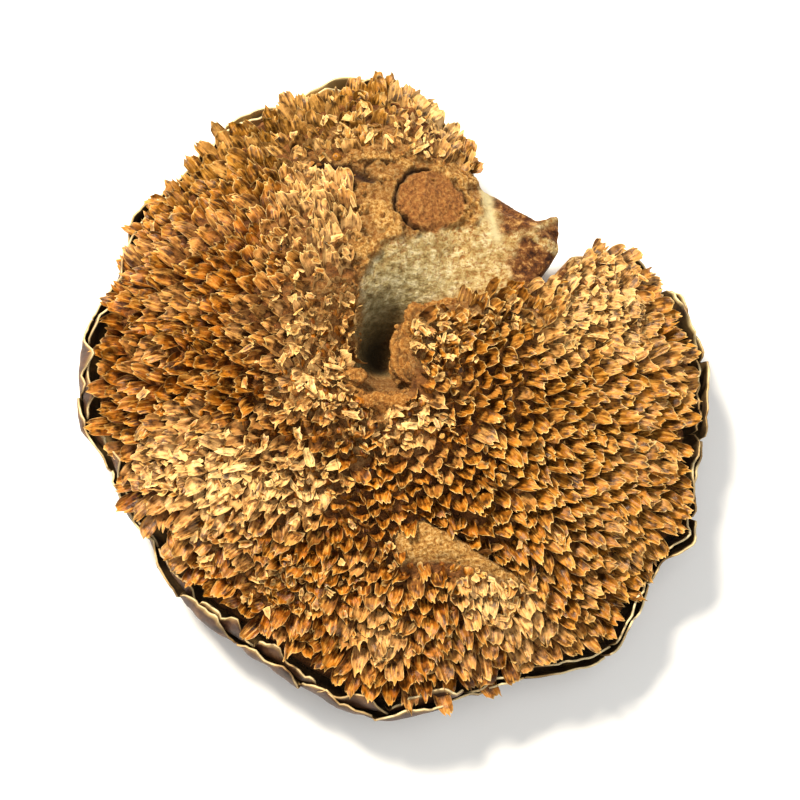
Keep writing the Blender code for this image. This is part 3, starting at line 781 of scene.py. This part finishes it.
def makePlate():
    source = bpy.data.objects["receptacle"]
    mesh = source.data.copy()
    mesh.name = "pithPlate"
    mesh.transform(source.matrix_world)
    mesh.materials.clear()
    piece = newPiece(mesh, "pith", "receptacle")
    remesh = piece.modifiers.new("fine", "REMESH")
    remesh.mode, remesh.voxel_size = "VOXEL", plate["voxel"] * mm
    graph = bpy.context.evaluated_depsgraph_get()
    fine = bpy.data.meshes.new_from_object(piece.evaluated_get(graph))
    piece.modifiers.clear()
    piece.data = fine
    halveTornFaces(fine)
    x, y, z = placesOf(fine.vertices, "co")
    top, back = plateTop(x, y), plateBack(x, y)
    fineTop, fineBack = top + topDetail(x, y), back + backDetail(x, y)
    share = np.clip((z - back) / (top - back), 0, 1)
    within = withinBy(plateLoop, x, y) > plate["edge"]
    snapped = np.where(share > 0.5, fineTop, fineBack)
    z = np.where(within, snapped, fineBack + share * (fineTop - fineBack))
    fine.vertices.foreach_set("co", (np.stack([x, y, z], -1) * mm).ravel())
    flap = leftOf(plate["flapLine"], x, y) + 1.5 * patchNoise(x, y, 3, 62)
    corner = 0.9 * bell(alongLine(plate["cornerRib"], x, y)[0], 0.8)
    rim = bell(alongLine(plate["lobeRim"], x, y)[0], 3)
    chaffEdge = withinBy(chaffLoop, x, y)
    fringe = ease(-4, -0.5, chaffEdge) * (0.8 + 0.6 * patchNoise(x, y, 4, 61))
    ridge = ease(-1, 0.5, withinBy(head["bareRidge"], x, y))
    degrees = bearing(x, y)
    rimmed = ease(12, 8, withinBy(plateLoop, x, y)) * ((degrees < 28) | (degrees > 80))
    southWall = ease(13, 7, y) * ease(17, 12, np.hypot(x + 3, y - 3)) * (share > 0.5)
    crust = np.maximum.reduce([crustShare(x, y), rim, fringe * (y < 62) * (x < 30), ridge, southWall])
    crust = np.clip(crust, 0, 1)
    # painted shade: the receptacle's brown under the chaff is made darker where scales cover it, less where they are
    # broken open, and along the plate's rim
    covered = ease(-1, 1.5, chaffEdge) * (1 - 0.85 * np.clip(placeValue(brokenPlaces, x, y), 0, 1))
    setAttributes(fine, {
        "covered": np.maximum(covered, rimmed) * (1 - ridge),
        # painted shade: near-black down the cracks, the trench and the ridge's crease
        "crackShade": crackShare(x, y),
        "creamy": bell(alongLine(plate["creamRib"], x, y)[0] + 1.2 * patchNoise(x, y, 3, 66), 1.4),
        # the hole's depth, which darkens its colour as painted shade
        "depth": np.clip(hollowDepth(x, y) / 34 + 0.12 * bell(np.hypot(x, y - 21), 8), 0, 1),
        "grey": np.clip(1.15 * bell(np.hypot(x - 2, y - 26), 15) + 0.2 * patchNoise(x, y, 6, 64), 0, 1) * (y < 62),
        "crust": crust,
        "disc": 1 - ease(-1, 0.6, patchAway(x, y)),
        "flapShade": ease(-1.5, 2, flap) * (x > 33) * (y > 38) * (1 - corner),
        # painted shade: darker brown in the low gaps between crust chunks and on the wall south of the hole
        "low": np.maximum(0.5 * (1 - crustBlocks(x, y)), 0.6 * southWall) * crust * (1 - ridge),
    })
    for finish in (tornPith(), driedRind(), cutStalkEnd()):
        fine.materials.append(finish)
    mx, my, mz = placesOf(fine.polygons, "center")
    isBack = mz < (plateTop(mx, my) + plateBack(mx, my)) / 2
    isRim = (withinBy(plateLoop, mx, my) < plate["edge"]) & (mz < plateTop(mx, my) - 2)
    kinds = np.where(isBack | isRim, 1, 0)
    kinds = np.where(isBack & (np.hypot(mx, my) < head["stalk"][0] - 0.5) & (mz < 1), 2, kinds)
    fine.polygons.foreach_set("material_index", kinds.astype(np.int32))
    fine.shade_smooth()
    printSize("pithPlate", fine)


def tornPith():
    # torn pith: matt and crumbly, cream where it is fresh, grey-green in the hole, with a tan corky crust; painted
    # shade darkens the hole with its depth, the cracks, the gaps in the crust and the floor under the chaff
    made, add, read = newMaterial(
        "tornDryPith", ("grey", "depth", "creamy", "flapShade", "crust", "low", "disc", "covered", "crackShade"),
        Roughness=0.95, IOR=1.4,
    )
    strandPlace = add(  # strands torn along the slope, about 1.5 mm apart
        "Mapping",
        {"Vector": read["place"], "Rotation": (0, 0, math.radians(-48)), "Scale": (240, 620, 300)},
    )
    strands = add("TexNoise", {"Vector": strandPlace, "Scale": 1, "Detail": 5, "Roughness": 0.65})
    crumbs = add(  # crumbs of about 1 mm
        "TexNoise", {"Vector": read["place"], "Scale": 850, "Detail": 4, "Roughness": 0.7}
    )
    lumps = add(  # lumps of about 3 mm, with finer ones on them
        "TexNoise", {"Vector": read["place"], "Scale": 330, "Detail": 6, "Roughness": 0.75}
    )
    strands = add("Math", {0: strands, 1: 0.35}, operation="MULTIPLY")
    strands = add("Math", {0: lumps, 1: 0.65, 2: strands}, operation="MULTIPLY_ADD")
    tones = {name: add("ValToRGB", {"Fac": source}, stops=stops) for name, source, stops in (
        ("fresh", strands, [(0.36, "#7e5b28"), (0.45, "#ab8b50"), (0.52, "#c2a870"), (0.6, "#decd9c")]),
        ("spots", crumbs, [(0.4, 0.9), (0.5, 0)]),
        ("grey", strands, [(0.4, "#5c532e"), (0.49, "#948a5e"), (0.6, "#d2c8a0")]),
        # painted shade: the hole's olive grey turns darker the deeper it goes
        ("hollow", read["depth"], [(0.3, 0), (0.6, 0.7), (0.95, 1)]),
        ("deep", read["depth"], [(0.2, "#a39560"), (0.5, "#82764a"), (0.75, "#5f5530"), (0.95, "#3d351c")]),
        ("flap", lumps, [(0.4, "#3a1c08"), (0.52, "#74441a"), (0.64, "#c09254")]),
        ("crust", crumbs, [(0.36, "#7a4a1a"), (0.5, "#b07f3a"), (0.62, "#d5ad6c")]),
        ("disc", crumbs, [(0.36, "#6a3e17"), (0.5, "#935c28"), (0.62, "#ac7a3e")]),
        # the receptacle's own brown under the chaff, darkened as painted shade
        ("brownAndShadeUnderChaff", strands, [(0.4, "#43230a"), (0.5, "#6f4016"), (0.6, "#94602a")]),
    )}
    body = layered(
        add, tones["fresh"], (tones["spots"], "#8f5c28"), (read["grey"], tones["grey"]),
        (tones["hollow"], layered(add, tones["deep"], (0.5, tones["grey"], "MULTIPLY"))),
        (read["creamy"], "#c9ba8c"), (read["flapShade"], tones["flap"]), (read["crust"], tones["crust"]),
        # painted shade: read low darkens the crust's gaps and the wall south of the hole
        (read["low"], "#6a3d14"), (read["disc"], tones["disc"]), (read["covered"], tones["brownAndShadeUnderChaff"]),
        # painted shade: the cracks are coloured near-black
        (read["crackShade"], "#2e1606"),
    )
    height = add("Math", {0: strands, 1: crumbs}, operation="ADD")
    return finished(made, body, height, 1, 1.4)


def driedRind():
    # dried rind: leathery, wrinkled and dull brown
    made, add, read = newMaterial("driedRind", Roughness=0.75, IOR=1.45)
    mottle = add("TexNoise", {"Vector": read["place"], "Scale": 90, "Detail": 6})
    body = add("ValToRGB", {"Fac": mottle}, stops=[(0.3, "#4a2e16"), (0.5, "#7d5530"), (0.72, "#a9824c")])
    grain = add("TexNoise", {"Vector": read["place"], "Scale": 500, "Detail": 4})
    return finished(made, body, grain, 0.6, 0.8)


def cutStalkEnd():
    # sawn stalk end: a woody ring round pale pith
    made, add, read = newMaterial("cutStalkEnd", Roughness=0.9, IOR=1.4)
    away = add("VectorMath", {0: read["place"]}, take="Value", operation="LENGTH")
    share = add("Math", {0: away, 1: 1 / (head["stalk"][0] * mm)}, operation="MULTIPLY")
    grain = add("TexNoise", {"Vector": read["place"], "Scale": 700, "Detail": 4})
    body = add(
        "ValToRGB", {"Fac": share},
        stops=[(0, "#e3cf9f"), (0.72, "#dcc28c"), (0.8, "#a87a44"), (0.95, "#6d4826")],
    )
    return finished(made, layered(add, body, (0.35, grain, "MULTIPLY")), grain, 0.7, 0.6)


makePlate()

print("crumbs of cork")

crumb = {
    "lumps": [  # chunks of crust that still stand round the hole: x, y, height of middle, radius
        (7, 26.5, 42, 4), (4, 22.5, 41, 3.6), (2.8, 17.5, 41.5, 3.6), (2, 12.5, 42.5, 4.2),
        (5.5, 8.5, 43.5, 3.6), (12.5, 29, 42, 2.8), (0.5, 8.5, 41, 3.2), (-5.5, -3, 43, 4),
        (0.5, -2.5, 43, 4), (-14.5, 6, 43, 3.6), (-17, 1, 44, 3.4), (-12, -2, 43, 3.4),
        (18, 31.5, 43, 2.4), (-15, 36, 43, 2.8), (-16.5, 27, 43, 2.6),
    ],
    "small": 260,
    "radius": (0.25, 0.8),
}


def roundedLumps(name, places, radii, rounds, seed, finish):
    build = bmesh.new()
    bmesh.ops.create_icosphere(build, subdivisions=rounds, radius=1)
    ball = np.array([v.co[:] for v in build.verts])
    sides = np.array([[v.index for v in f.verts] for f in build.faces])
    build.free()
    draw = np.random.default_rng(seed)
    shift = draw.uniform(-60, 60, (len(places), 1, 2))
    u, v = ball[None, :, 0] + 2 * ball[None, :, 2], ball[None, :, 1] - 2 * ball[None, :, 2]
    swell = 1 + 0.36 * patchNoise(u + shift[..., 0], v + shift[..., 1], 0.8, seed + 1)
    swell = swell + 0.2 * patchNoise(u + shift[..., 1], v + shift[..., 0], 0.33, seed + 2)
    swell = swell + 0.1 * patchNoise(u + shift[..., 0], v + shift[..., 0], 0.14, seed + 3)
    stretch = draw.uniform(0.65, 1.4, (len(places), 1, 3)) * [1, 1, 0.7]
    points = places[:, None, :] + ball[None] * stretch * (swell * radii[:, None])[..., None]
    faces = (sides[None] + (np.arange(len(places)) * len(ball))[:, None, None]).reshape(-1, 3).tolist()
    newPiece(meshFrom(name, points, faces, {"swell": swell}, finish), "pith")


def corkCrumbs():
    # crumbled crust: matt tan cork, darker in its pits
    made, add, read = newMaterial("crumbledCork", ("swell",), Roughness=0.95, IOR=1.4)
    grain = add("TexNoise", {"Vector": read["place"], "Scale": 900, "Detail": 4, "Roughness": 0.7})
    body = add("ValToRGB", {"Fac": grain}, stops=[(0.34, "#7c4816"), (0.5, "#a66e2c"), (0.66, "#cc9a54")])
    pits = add(
        "MapRange",
        {"Value": read["swell"], "From Min": 0.75, "From Max": 1.15, "To Min": 0.4, "To Max": 1.08},
    )
    return finished(made, layered(add, body, (1, pits, "MULTIPLY")), grain, 1, 1.8)


def makeCrumbs():
    finish = corkCrumbs()
    large = np.array(crumb["lumps"])
    roundedLumps("crustLumps", large[:, :3], large[:, 3], 4, 71, finish)
    draw = np.random.default_rng(73)
    x, y = draw.uniform((-32, -12), (62, 88), (9000, 2)).T
    edge = withinBy(chaffLoop, x, y)
    near = 0.7 * bell(edge, 1.6) + 0.05 * crustShare(x, y) * (edge < 0)
    kept = (withinBy(plateLoop, x, y) > 2) & (draw.uniform(0, 1, len(x)) < near)
    x, y = x[kept][: crumb["small"]], y[kept][: crumb["small"]]
    low, high = crumb["radius"]
    radii = low + (high - low) * draw.uniform(0, 1, len(x)) ** 2.5
    places = np.stack([x, y, plateTop(x, y) + topDetail(x, y) + 0.1 * radii], -1)
    roundedLumps("crustCrumbs", places, radii, 2, 75, finish)


makeCrumbs()

print("bracts")

bract = {
    "start": 70,
    "end": 398,
    "fade": 26,
    "root": 15,
    "thickness": 0.65,
    "whorls": {
        "bractsInner": {"node": "bracts_inner", "count": 23, "gap": 0.8, "height": 18.2, "phase": 0, "seed": 3},
        "bractsOuter": {"node": "bracts_outer", "count": 22, "gap": 3.1, "height": 16.2, "phase": 0.5, "seed": 4},
    },
    "rows": 11,
    "columns": 19,
    "overlap": 1.1,
    "dips": [(112, 30, 0.35), (207, 9, 0.45), (298, 8, 0.35)],  # lower sides: middle, spread, share
    "foot": (-1.2, 0.22),  # starts this far inside the plate's edge, and stands clear from this share up
    "wave": (1.2, 15.5),
    "swell": 1.8,
    "lean": (0.8, 3, 30),
    "curlIn": [(176, 13, 4.5), (236, 18, 2.5), (268, 12, 2), (312, 10, 2)],  # side, spread, mm
    "reach": 23,
    "bleached": (110, 9, 1),  # side where the blades are straw-coloured: middle, spread, share
}


def bractBulge(degrees, rise):
    mean, swing, side = bract["lean"]
    swell = bract["swell"] * np.sin(math.pi * rise * 0.8)
    curled = head["curl"][1] * curlShare(degrees) * np.sin(math.pi * rise**0.75)
    for middle, spread, inward in bract["curlIn"]:
        curled = curled + inward * bell(degrees - middle, spread) * (0.3 * np.sin(math.pi * rise) - rise**2)
    return swell + curled + (mean + swing * np.cos(np.radians(degrees - side))) * rise**2


def makeWhorl(name, whorl, finishes):
    draw = np.random.default_rng(whorl["seed"])
    pitch = (bract["end"] - bract["start"]) / (whorl["count"] + whorl["phase"])
    rows, columns, count = bract["rows"], bract["columns"], whorl["count"]
    middle = (bract["start"] + pitch * (np.arange(count) + whorl["phase"] + 0.5))[:, None, None]
    grown = ease(0, bract["fade"], np.minimum(middle - bract["start"], bract["end"] - middle))
    tall = whorl["height"] * draw.uniform(0.84, 1.08, (count, 1, 1)) * (0.45 + 0.55 * grown)
    for side, spread, dip in bract["dips"]:
        tall = tall * (1 - dip * bell(middle - side, spread))
    v = np.linspace(-1, 1, columns)[None, None, :]
    row = np.linspace(0, 1, rows)[None, :, None]
    phase = draw.uniform(0, 60, (3, count))[:, :, None, None]
    crown = 1 - draw.uniform(0.2, 0.36, (count, 1, 1)) * np.abs(v) ** 2.4
    crown = crown + 0.14 * patchNoise(v * 2 + phase[0], 0 * v, 1, 81)
    crown = crown + 0.08 * patchNoise(v * 5 + phase[1], 0 * v, 1, 82)
    degrees = middle + pitch * bract["overlap"] * v / 2 * (1 - 0.14 * row)
    ripple = 1 * patchNoise(v * 2 + phase[0], row * 1.1 + phase[1], 1, 83)
    ripple = ripple + 0.6 * patchNoise(v * 4.6 + phase[1], row * 2 + phase[2], 1, 84)
    twist = draw.uniform(-0.9, 0.9, (count, 1, 1)) * v + 0.3 * np.where(np.arange(count)[:, None, None] % 2, 1, -1)
    out = whorl["gap"] + 0.4 + ripple * row**1.3 + twist * row
    degrees, out, crown = np.broadcast_arrays(degrees, out, crown)
    rise = tall * crown * row / bract["reach"]
    depth, waves = bract["wave"]
    out = out + bractBulge(degrees, rise) + depth * np.sin(np.radians(degrees) * waves) * rise
    inner, clear = bract["foot"]
    out = inner + (out - inner) * ease(-0.1, clear, row)
    px, py = edgePoint(degrees, out)
    pz = bract["root"] + tall * crown * row
    points = np.stack([px, py, pz + 0 * px], -1)
    edge = ease(0.93, 1, row + 0 * px) * np.clip(0.45 + 0.7 * patchNoise(degrees, 0 * degrees, 3, 85), 0, 1)
    side, spread, share = bract["bleached"]
    edge = np.maximum(edge, share * bell(degrees - side, spread) * ease(0, 0.3, row))
    mesh = meshFrom(
        name, points, gridFaces(count, rows, columns),
        {"edge": edge, "along": row + 0 * px, "across": (v + 0 * px) * 6 + middle}, *finishes,
    )
    piece = newPiece(mesh, "bract", whorl["node"])
    thicken = piece.modifiers.new("thickness", "SOLIDIFY")
    thicken.thickness, thicken.offset = bract["thickness"] * mm, 0
    thicken.material_offset, thicken.material_offset_rim = 1, 2


def bractLeather():
    # dried bracts: stiff dark leather outside, brown inside and darkened there by painted shade, and paler where the
    # edge curls over
    finishes = []
    for name, dark, mid, light, edgeColour in (
        ("bractOutside", "#241208", "#4a2b16", "#75502f", "#c8a970"),
        # painted shade: the inside is darker than the leather's own brown
        ("bractInsideAndShade", "#241709", "#46331a", "#6f5730", "#cdb47c"),
        ("bractEdge", "#6b4a26", "#b3905a", "#dcc38c", "#ead6a4"),
    ):
        made, add, read = newMaterial(name, ("across", "along", "edge"), Roughness=0.6, IOR=1.45)
        mottle = add("TexNoise", {"Vector": read["place"], "Scale": 160, "Detail": 5})
        veinPlace = add("CombineXYZ", {"X": read["across"], "Y": read["along"]})
        veinPlace = add("Mapping", {"Vector": veinPlace, "Scale": (0.9, 1.2, 1)})
        veins = add(  # veins about 1.5 mm apart
            "TexNoise", {"Vector": veinPlace, "Scale": 1, "Detail": 3}
        )
        body = add("ValToRGB", {"Fac": mottle}, stops=[(0.3, dark), (0.5, mid), (0.72, light)])
        height = add("Math", {0: mottle, 1: veins}, operation="ADD")
        body = layered(add, body, (0.3, veins, "OVERLAY"), (read["edge"], edgeColour))
        finishes.append(finished(made, body, height, 0.6, 0.8))
    return finishes


leather = bractLeather()
for whorlName, whorlValues in bract["whorls"].items():
    makeWhorl(whorlName, whorlValues, leather)

print("finish")
